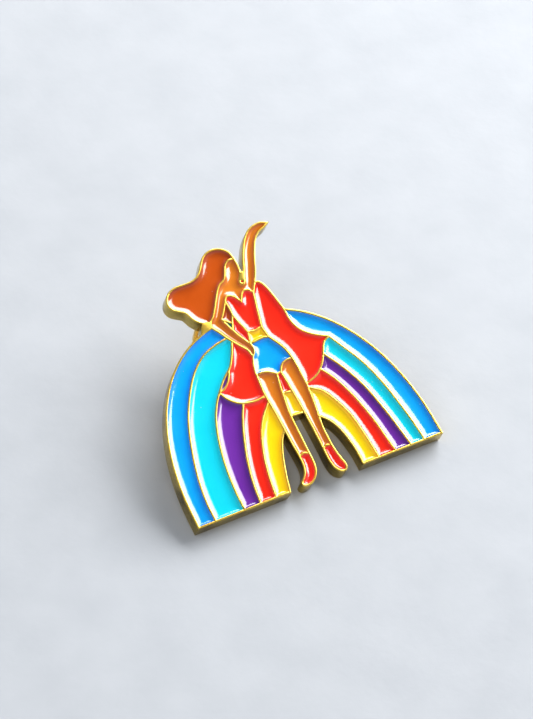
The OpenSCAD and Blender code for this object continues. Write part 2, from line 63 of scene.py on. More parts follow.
def flat_triangles(cad_node):
    """The triangles of a CAD node in the flat frame, three corners each."""
    mesh = frame["nodes"][cad_node].data
    points = np.empty(len(mesh.vertices) * 3)
    mesh.vertices.foreach_get("co", points)
    mesh.calc_loop_triangles()
    corners = np.empty(len(mesh.loop_triangles) * 3, dtype=np.int64)
    mesh.loop_triangles.foreach_get("vertices", corners)
    return (points.reshape(-1, 3) @ LEAN_ROWS / MM)[corners.reshape(-1, 3)]


def flat_box(cad_node):
    """Lowest and highest corner of a CAD node in the flat frame."""
    points = flat_triangles(cad_node).reshape(-1, 3)
    return points.min(axis=0), points.max(axis=0)


def radii_at(cad_node, level):
    """The different radii about the post's axis that a CAD node has at a level."""
    points = flat_triangles(cad_node).reshape(-1, 3)
    points = points[abs(points[:, 2] - level) < SAME_LEVEL]
    return sorted(set(np.round(np.hypot(points[:, 0], points[:, 1]), 2)))


def face_outlines(cad_node, level):
    """Outlines of a node's flat face at a level, the face on their left and the longest first."""
    triangles = flat_triangles(cad_node)
    triangles = triangles[(abs(triangles[:, :, 2] - level) < SAME_LEVEL).all(axis=1)]
    places, index = np.unique(triangles[:, :, :2].reshape(-1, 2), axis=0, return_inverse=True)
    steps = set()
    for a, b, c in index.reshape(-1, 3).tolist():
        steps |= {(a, b), (b, c), (c, a)}
    ahead = {a: b for a, b in steps if (b, a) not in steps}
    outlines = []
    while ahead:
        first, point = ahead.popitem()
        loop = [first]
        while point != first:
            loop.append(point)
            point = ahead.pop(point)
        outlines.append(places[loop])
    return sorted(outlines, key=len, reverse=True)


# ---- Filling outlines with fine triangles ----
RIM_STEP = 0.18           # spacing of points along the outlines
SHARP = math.radians(40)  # an outline that turns further than this keeps its corner
LEAST_OPENING = 0.4       # stops a row from running far out at a sharp corner
ROW_CLEAR = 0.93          # share of a row's depth that its points stay clear of every outline
GRID_CLEAR = 0.6          # grid steps left free between the last row and the grid
TRIANGLE_RISE = math.sqrt(0.75)   # height of a triangle whose three sides are 1 long
MERGE_WITHIN = 1e-6


def fine_outline(loop):
    """The outline as a smooth curve through its points, apart from its sharp corners."""
    ahead = np.roll(loop, -1, axis=0) - loop
    length = np.linalg.norm(ahead, axis=1)[:, None]
    unit = ahead / length
    unit_before, length_before = np.roll(unit, 1, axis=0), np.roll(length, 1, axis=0)
    through = (unit_before * length + unit * length_before) / (length + length_before)
    corner = ((unit_before * unit).sum(axis=1) < math.cos(SHARP))[:, None]
    leaving = np.where(corner, unit, through)
    arriving = np.roll(np.where(corner, unit_before, through), -1, axis=0)
    loop_next = np.roll(loop, -1, axis=0)
    fine = []
    for i, size in enumerate(length[:, 0]):
        count = max(1, round(size / RIM_STEP))
        for k in range(count):
            t = k / count
            fine.append((1 + 2 * t) * (1 - t) ** 2 * loop[i] + t * (1 - t) ** 2 * size * leaving[i]
                        + t * t * (3 - 2 * t) * loop_next[i] + t * t * (t - 1) * size * arriving[i])
    return np.array(fine)


def rim_distance(points, outlines):
    """How far each point is from the nearest outline."""
    starts = np.vstack(outlines)
    ends = np.vstack([np.roll(loop, -1, axis=0) for loop in outlines])
    before, first = [], 0
    for loop in outlines:
        before += [first + (k - 1) % len(loop) for k in range(len(loop))]
        first += len(loop)
    tree = KDTree(len(starts))
    for i, (x, y) in enumerate(starts):
        tree.insert((x, y, 0), i)
    tree.balance()
    nearest = np.array([tree.find((x, y, 0))[1] for x, y in points])
    best = np.full(len(points), np.inf)
    for side in (nearest, np.array(before)[nearest]):
        a, along = starts[side], ends[side] - starts[side]
        share = ((points - a) * along).sum(axis=1) / (along * along).sum(axis=1)
        gap = points - a - np.clip(share, 0, 1)[:, None] * along
        best = np.minimum(best, np.linalg.norm(gap, axis=1))
    return best


def rows_beside(loop, depth):
    """The outline's points moved to its left by a depth."""
    ahead = np.roll(loop, -1, axis=0) - loop
    ahead /= np.linalg.norm(ahead, axis=1)[:, None]
    normal = np.stack([-ahead[:, 1], ahead[:, 0]], axis=1)
    before = np.roll(normal, 1, axis=0)
    opening = np.maximum(1 + (before * normal).sum(axis=1), LEAST_OPENING)[:, None]
    return loop + depth * (before + normal) / opening


def filled(outlines, depths=(), grid=None):
    """Triangles that fill the outlines: rows of points along them, and a grid between if wanted.

    Returns the points, with those of the outlines first, and the triangles."""
    rim = np.vstack(outlines)
    edges, first = [], 0
    for loop in outlines:
        edges += [(first + k, first + (k + 1) % len(loop)) for k in range(len(loop))]
        first += len(loop)
    inner = []
    for depth in depths:
        row = np.vstack([rows_beside(loop, depth) for loop in outlines])
        inner.append(row[rim_distance(row, outlines) > ROW_CLEAR * depth])
    if grid:
        low, high = rim.min(axis=0), rim.max(axis=0)
        across = np.arange(low[0], high[0], grid)
        up = np.arange(low[1], high[1], grid * TRIANGLE_RISE)
        x, y = np.meshgrid(across, up)
        x[1::2] += grid / 2
        net = np.stack([x.ravel(), y.ravel()], axis=1)
        inner.append(net[rim_distance(net, outlines) > depths[-1] + GRID_CLEAR * grid])
    points = np.vstack([rim] + inner)
    faces, sources = delaunay_2d_cdt(
        [Vector(p) for p in points.tolist()], edges, [], 1, MERGE_WITHIN)[2:4]
    source = [s[0] if s else -1 for s in sources]
    faces = [[source[i] for i in face] for face in faces]
    sides = {}
    for i, face in enumerate(faces):
        for a, b in zip(face, face[1:] + face[:1]):
            sides[a, b] = i
    rim_steps = set(edges) | {(b, a) for a, b in edges}
    todo = [sides[e] for e in edges if e in sides]
    kept = set(todo)
    while todo:
        face = faces[todo.pop()]
        for a, b in zip(face, face[1:] + face[:1]):
            beyond = sides.get((b, a))
            if (a, b) not in rim_steps and beyond is not None and beyond not in kept:
                kept.add(beyond)
                todo.append(beyond)
    return points, [faces[i] for i in sorted(kept) if min(faces[i]) >= 0]


class Shell:
    """Points and faces of one closed piece, gathered in the flat frame."""

    def __init__(self):
        """Starts with nothing gathered."""
        self.points, self.faces, self.count = [], [], 0

    def surface(self, points, heights, triangles, up=True):
        """Adds a surface and returns the number of its first point."""
        first = self.count
        heights = np.broadcast_to(heights, len(points))
        self.points.append(np.column_stack([points, heights]))
        self.faces += [[first + i for i in (t if up else t[::-1])] for t in triangles]
        self.count += len(points)
        return first

    def wall(self, above, below, size):
        """Joins two rims of the same size, the upper one with the piece on its left."""
        for k in range(size):
            n = (k + 1) % size
            self.faces.append([above + k, below + k, below + n, above + n])

    def made(self, name, smooth_angle):
        """The piece, leant to its rest."""
        points = np.vstack(self.points) @ LEAN_ROWS.T * MM
        mesh = bpy.data.meshes.new(name)
        mesh.from_pydata(points.tolist(), [], self.faces)
        piece = bpy.data.objects.new(name, mesh)
        scene.collection.objects.link(piece)
        alone(piece)
        bpy.ops.object.mode_set(mode="EDIT")
        bpy.ops.mesh.select_all(action="SELECT")
        bpy.ops.mesh.delete_loose()
        bpy.ops.object.mode_set(mode="OBJECT")
        bpy.ops.object.shade_smooth_by_angle(angle=math.radians(smooth_angle))
        return piece


def alone(piece):
    """Makes one object the only selected one."""
    bpy.ops.object.select_all(action="DESELECT")
    piece.select_set(True)
    bpy.context.view_layer.objects.active = piece


def stands_for(piece, body, slot, material, *cad_nodes):
    """Gives a finished piece its material and its body, and hides the CAD nodes that it stands for."""
    piece.data.materials.clear()
    piece.data.materials.append(material)
    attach(piece, body)
    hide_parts(*cad_nodes)


# ---- Materials ----
# A pattern lies on a piece's own place, and its scale counts per metre. An edge gives the two
# values of the pattern between which its effect comes in, and what it then runs from and to.
GRAIN_SCALE = 9000.0
PIT_SCALE = 2600.0
PIT_EDGE = (0.05, 0.28, 1.0, 0.0)
SCUFF_SCALE = 2200.0
SCUFF_STRETCH = (1.0, 9.0, 4.0)
SCUFF_TURN = (0.3, 0.2, 0.6)
SCUFF_EDGE = (0.52, 0.75)
PATCH_SCALE = 420.0
PATCH_EDGE = (0.42, 0.72)
PATCH_SHARE = 0.6         # how much a dulled patch counts beside a scuff
POOL_SCALE = 330.0
POOL_DRIFT = (0.3, 0.75, -0.18, 0.22)
POOL_HAZE = (0.3, 0.8, 0.10, 0.2)
DUST_SCALE = 700.0
DUST_EDGE = (0.028, 0.045, 1.0, 0.0)
DUST_SHARE = 0.35
DUST_TONE = (0.9, 0.88, 0.84, 1.0)
PINHOLE_DEPTH = 0.25
RIPPLE_SCALE = 520.0
PEEL_SCALE = 5200.0
PEEL_SHARE = 0.05
METAL_RELIEF = 0.02       # depth of each relief, in millimetres
ENAMEL_RELIEF, ENAMEL_BUMP = 0.03, 0.5
WHITE, GREY = (1.0, 1.0, 1.0, 1.0), (0.5, 0.5, 0.5, 1.0)


def feed(tree, socket, value):
    """Links another node's output to a socket, or sets the socket to a value."""
    if isinstance(value, bpy.types.NodeSocket):
        tree.links.new(value, socket)
    else:
        socket.default_value = value


def add(tree, kind, **values):
    """A shader node with its inputs set or linked, and its own settings such as a blend type."""
    node = tree.nodes.new("ShaderNode" + kind)
    for key, value in values.items():
        name = key.replace("_", " ")
        if name in node.inputs:
            feed(tree, node.inputs[name], value)
        else:
            setattr(node, key, value)
    return node


def ramp(tree, value, low, high, start=0.0, end=1.0):
    """A value taken from low..high to start..end, clamped."""
    node = add(tree, "MapRange", Value=value, From_Min=low, From_Max=high, To_Min=start, To_Max=end)
    return node.outputs[0]


def math_node(tree, operation, a, b):
    """Two values added, multiplied or taken one from the other."""
    node = tree.nodes.new("ShaderNodeMath")
    node.operation = operation
    for socket, value in zip(node.inputs, (a, b)):
        feed(tree, socket, value)
    return node.outputs[0]


def blended(tree, share, a, b):
    """Colour a turning into colour b."""
    node = tree.nodes.new("ShaderNodeMix")
    node.data_type = "RGBA"
    for socket, value in zip((node.inputs[0], node.inputs[6], node.inputs[7]), (share, a, b)):
        feed(tree, socket, value)
    return node.outputs[2]


def paint(red, green, blue):
    """A colour from 0 to 255 as it looks, made linear."""
    return tuple((c / 255 / 12.92 if c < 11 else ((c / 255 + 0.055) / 1.055) ** 2.4)
                 for c in (red, green, blue)) + (1.0,)


def effect(name, inputs, outputs):
    """An empty node group with named inputs, given with their defaults, and named outputs."""
    group = bpy.data.node_groups.new(name, "ShaderNodeTree")
    for label, value in inputs.items():
        kind = "NodeSocketColor" if isinstance(value, tuple) else "NodeSocketFloat"
        socket = group.interface.new_socket(label, in_out="INPUT", socket_type=kind)
        socket.default_value = value
    for label, kind in outputs.items():
        group.interface.new_socket(label, in_out="OUTPUT", socket_type=kind)
    return group, group.nodes.new("NodeGroupInput").outputs, group.nodes.new("NodeGroupOutput")


def placed(tree, group, **values):
    """A node group put into a material with its own values."""
    node = tree.nodes.new("ShaderNodeGroup")
    node.node_tree = group
    for key, value in values.items():
        node.inputs[key.replace("_", " ")].default_value = value
    return node.outputs


def new_material(name, **constants):
    """A material with one Principled shader whose constant sockets are set on itself."""
    material = bpy.data.materials.new(name)
    material.use_nodes = True
    shader = material.node_tree.nodes["Principled BSDF"]
    for key, value in constants.items():
        shader.inputs[key.replace("_", " ")].default_value = value
    return material, material.node_tree, shader


def surfaced(tree, shader, colour, roughness, height, bump, relief):
    """Feeds a shader the colour, the roughness and the bumps that change over the surface."""
    tree.links.new(colour, shader.inputs["Base Color"])
    tree.links.new(roughness, shader.inputs["Roughness"])
    bumped = add(tree, "Bump", Strength=bump, Distance=relief * MM, Height=height)
    tree.links.new(bumped.outputs[0], shader.inputs["Normal"])


def plating_effect():
    """Struck or stamped metal under bright plating: grain, pits, fine scuffs and dulled patches."""
    group, given, out = effect(
        "plating", {"Grain Scale": GRAIN_SCALE, "Pits": 0.4, "Scuffs": 0.4, "Tone": WHITE,
                    "Dull Tone": GREY},
        {"Height": "NodeSocketFloat", "Dull": "NodeSocketFloat", "Colour": "NodeSocketColor"})
    place = add(group, "TexCoord").outputs["Object"]
    grain = add(group, "TexNoise", Vector=place, Scale=given["Grain Scale"], Detail=3.0).outputs[0]
    cells = add(group, "TexVoronoi", Vector=place, Scale=PIT_SCALE).outputs["Distance"]
    pits = math_node(group, "MULTIPLY", ramp(group, cells, *PIT_EDGE), given["Pits"])
    streaks = add(group, "Mapping", Vector=place, Scale=SCUFF_STRETCH, Rotation=SCUFF_TURN)
    scuffs = add(group, "TexNoise", Vector=streaks.outputs[0], Scale=SCUFF_SCALE, Detail=4.0)
    scuffs = ramp(group, scuffs.outputs[0], *SCUFF_EDGE)
    scuffs = math_node(group, "MULTIPLY", scuffs, given["Scuffs"])
    patches = add(group, "TexNoise", Vector=place, Scale=PATCH_SCALE, Detail=5.0).outputs[0]
    dull = ramp(group, patches, *PATCH_EDGE)
    height = math_node(group, "SUBTRACT", math_node(group, "SUBTRACT", grain, pits), scuffs)
    group.links.new(height, out.inputs["Height"])
    worn = math_node(group, "ADD", math_node(group, "MULTIPLY", dull, PATCH_SHARE), scuffs)
    group.links.new(worn, out.inputs["Dull"])
    group.links.new(blended(group, dull, given["Tone"], given["Dull Tone"]), out.inputs["Colour"])
    return group


def enamel_effect():
    """Baked enamel: colour darker along the walls, painted shade, and lighter where the surface sinks, with soft
    clouds of random drift, a soft ripple, pinholes and dust.
    """
    group, given, out = effect(
        "baked_enamel", {"Thin Colour": WHITE, "Deep Colour": GREY},
        {"Colour": "NodeSocketColor", "Height": "NodeSocketFloat", "Haze": "NodeSocketFloat"})
    place = add(group, "TexCoord").outputs["Object"]
    depth = add(group, "Attribute", attribute_name="sink_shading").outputs["Fac"]
    clouds = add(group, "TexNoise", Vector=place, Scale=POOL_SCALE, Detail=3.0).outputs[0]
    # painted shade: the colour darkens towards the walls, where the surface rises to its edge; the clouds drift it
    # at random
    deep = math_node(group, "ADD", depth, ramp(group, clouds, *POOL_DRIFT))
    colour = blended(group, ramp(group, deep, 0.0, 1.0), given["Thin Colour"], given["Deep Colour"])
    specks = add(group, "TexVoronoi", Vector=place, Scale=DUST_SCALE, Randomness=1.0)
    speck = ramp(group, specks.outputs["Distance"], *DUST_EDGE)
    dust = blended(group, math_node(group, "MULTIPLY", speck, DUST_SHARE), colour, DUST_TONE)
    ripple = add(group, "TexNoise", Vector=place, Scale=RIPPLE_SCALE, Detail=1.0).outputs[0]
    peel = add(group, "TexNoise", Vector=place, Scale=PEEL_SCALE, Detail=2.0).outputs[0]
    height = math_node(group, "ADD", ripple, math_node(group, "MULTIPLY", peel, PEEL_SHARE))
    pinhole = math_node(group, "MULTIPLY", speck, PINHOLE_DEPTH)
    height = math_node(group, "SUBTRACT", height, pinhole)
    group.links.new(dust, out.inputs["Colour"])
    group.links.new(height, out.inputs["Height"])
    group.links.new(ramp(group, clouds, *POOL_HAZE), out.inputs["Haze"])
    return group


plating = plating_effect()
baked_enamel = enamel_effect()


def metal(name, tone, dull_tone, bright, rough, bump, grain=GRAIN_SCALE, pits=0.4, scuffs=0.4):
    """A plated metal. bright and rough are its roughness where polished and where dull."""
    material, tree, shader = new_material(name, Metallic=1.0)
    made = placed(tree, plating, Tone=tone, Dull_Tone=dull_tone, Grain_Scale=grain, Pits=pits,
                  Scuffs=scuffs)
    roughness = ramp(tree, made["Dull"], 0.0, 1.0, bright, rough)
    surfaced(tree, shader, made["Colour"], roughness, made["Height"], bump, METAL_RELIEF)
    return material


def enamel(name, wall_shade, deep):
    """A baked enamel from its darker colour along the walls, painted shade, to its own colour where it lies sunk.
    """
    material, tree, shader = new_material(
        name, IOR=1.52, Coat_Weight=1.0, Coat_Roughness=0.03, Coat_IOR=1.5, Specular_IOR_Level=0.5)
    made = placed(tree, baked_enamel, Thin_Colour=paint(*wall_shade), Deep_Colour=paint(*deep))
    surfaced(tree, shader, made["Colour"], made["Haze"], made["Height"], ENAMEL_BUMP,
             ENAMEL_RELIEF)
    return material


gold = metal("gold_plate", (0.96, 0.67, 0.12, 1.0), (0.86, 0.53, 0.06, 1.0),
             bright=0.28, rough=0.4, bump=0.12)
# the outer walls' gold is darkened to paint shade and a dark reflection on them
wall_shade_gold = metal("trimmed_wall_shade_gold", (0.52, 0.38, 0.08, 1.0), (0.16, 0.115, 0.03, 1.0),
                 bright=0.14, rough=0.3, bump=0.9, grain=4200.0, pits=1.0, scuffs=0.8)
blasted_gold = metal("blasted_gold", (0.95, 0.68, 0.22, 1.0), (0.86, 0.58, 0.17, 1.0),
                     bright=0.34, rough=0.5, bump=0.5, grain=8000.0, pits=0.8, scuffs=0.2)
brass = metal("stamped_brass", (0.98, 0.74, 0.32, 1.0), (0.80, 0.56, 0.22, 1.0),
              bright=0.16, rough=0.36, bump=0.25, grain=6000.0, scuffs=0.6)
solder_metal = metal("plated_solder", (0.86, 0.72, 0.42, 1.0), (0.55, 0.50, 0.42, 1.0),
                     bright=0.32, rough=0.6, bump=1.0, grain=3500.0, pits=0.9)
spring_wire = metal("spring_wire", (0.72, 0.72, 0.72, 1.0), (0.5, 0.48, 0.46, 1.0),
                    bright=0.2, rough=0.4, bump=0.4)

ENAMEL_TONES = {          # each enamel darker along its walls, painted shade, and where it lies sunk
    "blue_enamel": ((0, 126, 230), (0, 166, 247)),
    "cyan_enamel": ((0, 198, 222), (8, 211, 234)),
    "purple_enamel": ((82, 26, 132), (110, 42, 160)),
    "red_enamel": ((240, 22, 10), (255, 40, 14)),
    "yellow_enamel": ((255, 198, 0), (255, 218, 0)),
    "teal_enamel": ((0, 96, 110), (0, 134, 144)),
    "brown_enamel": ((154, 52, 0), (194, 78, 0)),
    "skin_enamel": ((190, 92, 12), (225, 129, 28)),
}
ENAMELS = {name: enamel(name, wall_shade, deep) for name, (wall_shade, deep) in ENAMEL_TONES.items()}
slot_of = {p["node"]: p["material_slot"] for p in frame["record"]["subparts"]}

# ---- The struck plate: rounded lines, sunk cells, trimmed walls in a darker gold that paints shade and a dark reflection, and a softened back ----
LINE_ROUNDING = 0.095     # radius of the rounding along each side of a raised line
BACK_ROUNDING = 0.14      # radius of the edge around the back
WALL_SLACK = 0.02         # how far a wall's face may lean, and lie from the plate's outline
BACK_FACING = -0.7        # a face that points further down than this belongs to the back
# material slots: 1 is the outer wall's darker gold, painted shade and dark reflection; 2 is the blasted back
WALL_SHADE_INDEX, BLASTED_FINISH = 1, 2


def rounded(distance, radius):
    """How far a rounded edge lies below its face at a distance from its side."""
    inside = np.clip(radius - distance, 0, radius)
    return radius - np.sqrt(radius * radius - inside * inside)


def rounding_rows(radius, count=4):
    """Depths from an outline that divide its rounding evenly."""
    return [radius * (1 - math.cos(math.pi / 2 * k / count)) for k in range(1, count + 1)]


def shade_walls_finish_back(plate, edge):
    """Gives the plate's trimmed outer wall a darker gold that paints shade and a dark reflection, and its blasted
    back its own gold.
    """
    faces = plate.data.polygons
    centres, normals = np.empty(len(faces) * 3), np.empty(len(faces) * 3)
    faces.foreach_get("center", centres)
    faces.foreach_get("normal", normals)
    centres = centres.reshape(-1, 3) @ LEAN_ROWS / MM
    facing = normals.reshape(-1, 3) @ LEAN_ROWS[:, 2]
    wall = abs(facing) < WALL_SLACK
    wall[wall] = rim_distance(centres[wall, :2], [edge]) < WALL_SLACK
    # the outer wall faces get the darker gold of painted shade
    shade_or_finish = np.where(facing < BACK_FACING, BLASTED_FINISH, np.where(wall, WALL_SHADE_INDEX, 0))
    plate.data.materials.append(wall_shade_gold)
    plate.data.materials.append(blasted_gold)
    faces.foreach_set("material_index", shade_or_finish)


def struck_plate():
    """The badge's plate: raised lines rounded, cells sunk between them, and its back eased."""
    low, high = flat_box("base_plate")
    face, back = high[2], low[2]
    floor = flat_box("enamel_skin")[0][2]
    outlines = [fine_outline(loop) for loop in face_outlines("base_plate", face)]
    shell = Shell()
    points, triangles = filled(outlines, rounding_rows(LINE_ROUNDING))
    drop = rounded(rim_distance(points, outlines), LINE_ROUNDING)
    drop[: sum(map(len, outlines))] = LINE_ROUNDING
    top = shell.surface(points, face - drop, triangles)

    edge = outlines[0]
    points, triangles = filled([edge], rounding_rows(BACK_ROUNDING))
    rise = rounded(rim_distance(points, [edge]), BACK_ROUNDING)
    rise[: len(edge)] = BACK_ROUNDING
    bottom = shell.surface(points, back + rise, triangles, up=False)
    shell.wall(top, bottom, len(edge))

    top += len(edge)
    for cell in outlines[1:]:
        triangles = filled([cell[::-1]])[1]
        last = len(cell) - 1
        under = shell.surface(cell, floor, [[last - i for i in t] for t in triangles])
        shell.wall(top, under, len(cell))
        top += len(cell)
    plate = shell.made("struck_plate", smooth_angle=38)
    stands_for(plate, "badge", "gold_plate", gold, "base_plate")
    shade_walls_finish_back(plate, edge)


# ---- Enamel: each fill climbs to its walls and sinks between them ----
SINK = 0.31               # how far the middle of a wide fill lies below its edge
CLIMB = 0.33              # how far from a wall the enamel still climbs
ENAMEL_ROWS = (0.04, 0.10, 0.17, 0.26, 0.37)   # depths of the rows of points in from a wall
ENAMEL_GRID = 0.17        # spacing of points in the middle of a fill


def enamel_fill(cad_node):
    """One cell's enamel, with how far its surface sinks kept for the painted shade of its colour along the walls.
    """
    low, high = flat_box(cad_node)
    outline = fine_outline(face_outlines(cad_node, high[2])[0])
    points, triangles = filled([outline], ENAMEL_ROWS, ENAMEL_GRID)
    distance = rim_distance(points, [outline])
    distance[: len(outline)] = 0
    sunk = 1 - np.exp(-distance / CLIMB)
    shell = Shell()
    top = shell.surface(points, high[2] - SINK * sunk, triangles)
    triangles = filled([outline])[1]
    bottom = shell.surface(outline, low[2], triangles, up=False)
    shell.wall(top, bottom, len(outline))
    piece = shell.made(cad_node.replace("enamel_", "fill_"), smooth_angle=50)
    # painted shade: 0 at the walls, where the colour is darkest, up to 1 where the surface has sunk by SINK
    tone = piece.data.attributes.new("sink_shading", "FLOAT", "POINT")
    flat = np.array([v.co for v in piece.data.vertices]) @ LEAN_ROWS / MM
    tone.data.foreach_set("value", np.clip((high[2] - flat[:, 2]) / SINK, 0, 1))
    slot = slot_of[cad_node]
    stands_for(piece, "badge", slot, ENAMELS[slot], cad_node)


struck_plate()
for cad_node in sorted(frame["nodes"]):
    if cad_node.startswith("enamel_"):
        enamel_fill(cad_node)


# ---- Post and clutch: turned and stamped pieces ----
ROUND_SIDES = 96
POLE = 0.0005             # a ring this small closes to one point
SHEET = 0.3               # thickness of the clutch's sheet brass
FLAT = math.radians(0.5)  # faces that turn less than this are one face
FLARE = math.radians(28)  # how far the leaves flare
SAME_RADIUS = 0.01        # radii closer than this are one radius
PAD_ROUNDING = 0.1
POST_FILLET = 0.16        # where the shaft meets the pad
NECK_ROUNDING = 0.06
POINT_ROUNDING = 0.35
BLUNT_RADIUS, BLUNT_LENGTH = 0.04, 0.03   # the very tip of the point
SOLDER_STEPS = 8
SOLDER_WOBBLE = 0.03      # how unevenly the solder has set
SOLDER_SMOOTHING = 0.3
HOLE_FOOT, HOLE_LIP = 0.04, 0.12   # roundings at the disc's hole
STAMPED_STEPS = (1.35, 2.75)   # where the disc's two pressed rings begin
STEP_DEPTH = 0.09
STEP_ROUNDING = 0.06
STEP_SHAPE = ((0, 0), (0.1, -STEP_DEPTH), (0.6, -STEP_DEPTH), (0.7, 0))   # out and up from there
CURL_STEPS = 20
DIMPLES = 6
DIMPLE_RING = 4.25        # radius of the circle the dimples stand on
DIMPLE_SIDES = 24
DIMPLE_SHAPE = ((POLE, -0.1), (0.42, -0.1), (0.40, 0), (0.33, 0.06), (0.22, 0.13), (0.10, 0.17),
                (POLE, 0.18))     # radius of a dimple and height above the disc
RIBS = (1.3, 1.9, 2.5)    # how far from the leaf's end each rib lies
RIB_RADIUS, RIB_LENGTH, RIB_SIDES = 0.15, 2.0, 20
RIB_ROUNDING = 0.1
SHEET_ROUNDING = 0.07     # softening of the edges of sheet brass
WING_BEND = 0.3           # radius of a wing's bend, at the middle of its sheet
BEND_STEPS = 6
WING_ARC = 24             # steps round a leaf's end
SLOT_REACH = 1.3          # a jaw's corners this near to the post are its slot's
SLOT_SIDES = 48


def heights_of(cad_node):
    """The levels at which a CAD node has corners, the highest first."""
    return sorted(set(np.round(flat_triangles(cad_node)[:, :, 2].ravel(), 3)), reverse=True)


def eased(corners, steps=4):
    """A closed outline of (radius, height, rounding) corners with each corner rounded."""
    outline = []
    for i, (radius, height, rounding) in enumerate(corners):
        here = Vector((radius, height))
        if not rounding:
            outline.append(tuple(here))
            continue
        back = (Vector(corners[i - 1][:2]) - here).normalized()
        on = (Vector(corners[(i + 1) % len(corners)][:2]) - here).normalized()
        half = back.angle(on) / 2
        centre = here + (back + on).normalized() * rounding / math.sin(half)
        start, end = (here + way * rounding / math.tan(half) - centre for way in (back, on))
        sweep = math.pi - 2 * half
        for k in range(steps + 1):
            t = k / steps
            spoke = math.sin((1 - t) * sweep) * start + math.sin(t * sweep) * end
            outline.append(tuple(centre + spoke / math.sin(sweep)))
    return outline


def begun(primitive, name, place=(0, 0, 0), turn=(0, 0, 0), **sizes):
    """A primitive to start a piece from, selected alone, with its place in its mesh."""
    bpy.ops.object.select_all(action="DESELECT")
    primitive(location=place, rotation=turn, **sizes)
    piece = bpy.context.object
    piece.name = piece.data.name = name
    bpy.ops.object.transform_apply(location=True, rotation=True, scale=False)
    return piece


def modified(piece, kind, **settings):
    """Works a modifier into a piece for good."""
    alone(piece)
    bpy.ops.object.modifier_add(type=kind)
    modifier = piece.modifiers[-1]
    for key, value in settings.items():
        setattr(modifier, key, value)
    bpy.ops.object.modifier_apply(modifier=modifier.name)


def turned(name, outline, sides=ROUND_SIDES):
    """A closed outline of (radius, height) turned about the post's axis, ring by ring."""
    outline = [(max(radius, POLE), height) for radius, height in outline]
    piece = begun(bpy.ops.mesh.primitive_circle_add, name, (0, 0, outline[0][1] * MM),
                  vertices=sides, radius=outline[0][0] * MM)
    bpy.ops.object.mode_set(mode="EDIT")
    bpy.ops.mesh.select_all(action="SELECT")
    if outline[-1][0] > 2 * POLE:
        outline.append(outline[0])
    for (radius, height), (next_radius, next_height) in zip(outline, outline[1:]):
        wider = next_radius / radius
        bpy.ops.mesh.extrude_edges_move(
            TRANSFORM_OT_translate={"value": (0, 0, (next_height - height) * MM)})
        bpy.ops.transform.resize(value=(wider, wider, 1), center_override=(0, 0, 0))
    closed()
    bpy.ops.object.mode_set(mode="OBJECT")
    return piece


def closed():
    """In edit mode: merges doubles and turns every face outwards."""
    bpy.ops.mesh.select_all(action="SELECT")
    bpy.ops.mesh.remove_doubles(threshold=3 * POLE * MM)
    bpy.ops.mesh.normals_make_consistent(inside=False)


def softened(piece, width, sharp=35):
    """Rounds every edge that is sharper than an angle in degrees."""
    modified(piece, "BEVEL", width=width * MM, segments=2, limit_method="ANGLE",
             angle_limit=math.radians(sharp))


def stamped_copy(cad_node, name, rounding):
    """A merged copy of a CAD node with every edge softened."""
    piece = bpy.data.objects.new(name, frame["nodes"][cad_node].data.copy())
    scene.collection.objects.link(piece)
    alone(piece)
    bpy.ops.object.mode_set(mode="EDIT")
    closed()
    bpy.ops.mesh.dissolve_limited(angle_limit=FLAT)
    bpy.ops.object.mode_set(mode="OBJECT")
    softened(piece, rounding)
    return piece


def leant(piece):
    """Leans a piece made about the upright axis to its rest."""
    piece.matrix_world = LEAN
    alone(piece)
    bpy.ops.object.transform_apply(location=False, rotation=True, scale=False)
    return piece


def worked(piece, tool, operation):
    """One solid of a piece and a shape that is pressed up from it or cut out of it."""
    modified(piece, "BOOLEAN", operation=operation, solver="EXACT", object=tool)
    bpy.data.objects.remove(tool)


def smooth(piece, angle):
    """Shades a piece smooth except where it turns sharper than an angle in degrees."""
    alone(piece)
    bpy.ops.object.shade_smooth_by_angle(angle=math.radians(angle))


def turned_post():
    """The pad, shaft, neck and ground point of the post."""
    levels = heights_of("post")
    widest = {level: radii_at("post", level)[-1] for level in levels}
    top, foot, tip = levels[0], levels[1], levels[-1]
    pad_r, post_r = widest[top], radii_at("post", foot)[0]
    groove, groove_end, point = (
        level for level in levels if abs(widest[level] - post_r) < SAME_RADIUS)
    neck_r = min(widest[level] for level in levels if groove_end < level < groove)
    necks = [level for level in levels
             if groove_end < level and abs(widest[level] - neck_r) < SAME_RADIUS]
    corners = [(POLE, top, 0), (pad_r, top, 0), (pad_r, foot, PAD_ROUNDING),
               (post_r, foot, POST_FILLET), (post_r, groove, NECK_ROUNDING),
               (neck_r, necks[0], NECK_ROUNDING), (neck_r, necks[-1], NECK_ROUNDING),
               (post_r, groove_end, NECK_ROUNDING), (post_r, point, POINT_ROUNDING),
               (BLUNT_RADIUS, tip + BLUNT_LENGTH, 0), (POLE, tip, 0)]
    piece = leant(turned("turned_post", eased(corners)))
    smooth(piece, 50)
    stands_for(piece, "badge", "gold_plate", gold, "post")


def solder_collar():
    """Solder that has crept up the pad and out over the back, a little unevenly."""
    levels = heights_of("solder")
    top, foot = levels[0], levels[-1]
    inner, outer = radii_at("solder", top)[0], radii_at("solder", top)[-1]
    outline = [(inner, top)]
    for k in range(SOLDER_STEPS + 1):
        turn = math.pi / 2 * k / SOLDER_STEPS
        outline.append((outer - (outer - inner) * math.sin(turn),
                        foot + (top - foot) * math.cos(turn)))
    piece = turned("solder_collar", outline)
    bpy.ops.object.mode_set(mode="EDIT")
    bpy.ops.transform.vertex_random(offset=SOLDER_WOBBLE * MM, uniform=0.0, normal=1.0, seed=4)
    bpy.ops.mesh.vertices_smooth(factor=SOLDER_SMOOTHING, repeat=1)
    bpy.ops.object.mode_set(mode="OBJECT")
    smooth(leant(piece), 50)
    stands_for(piece, "badge", "solder", solder_metal, "solder")


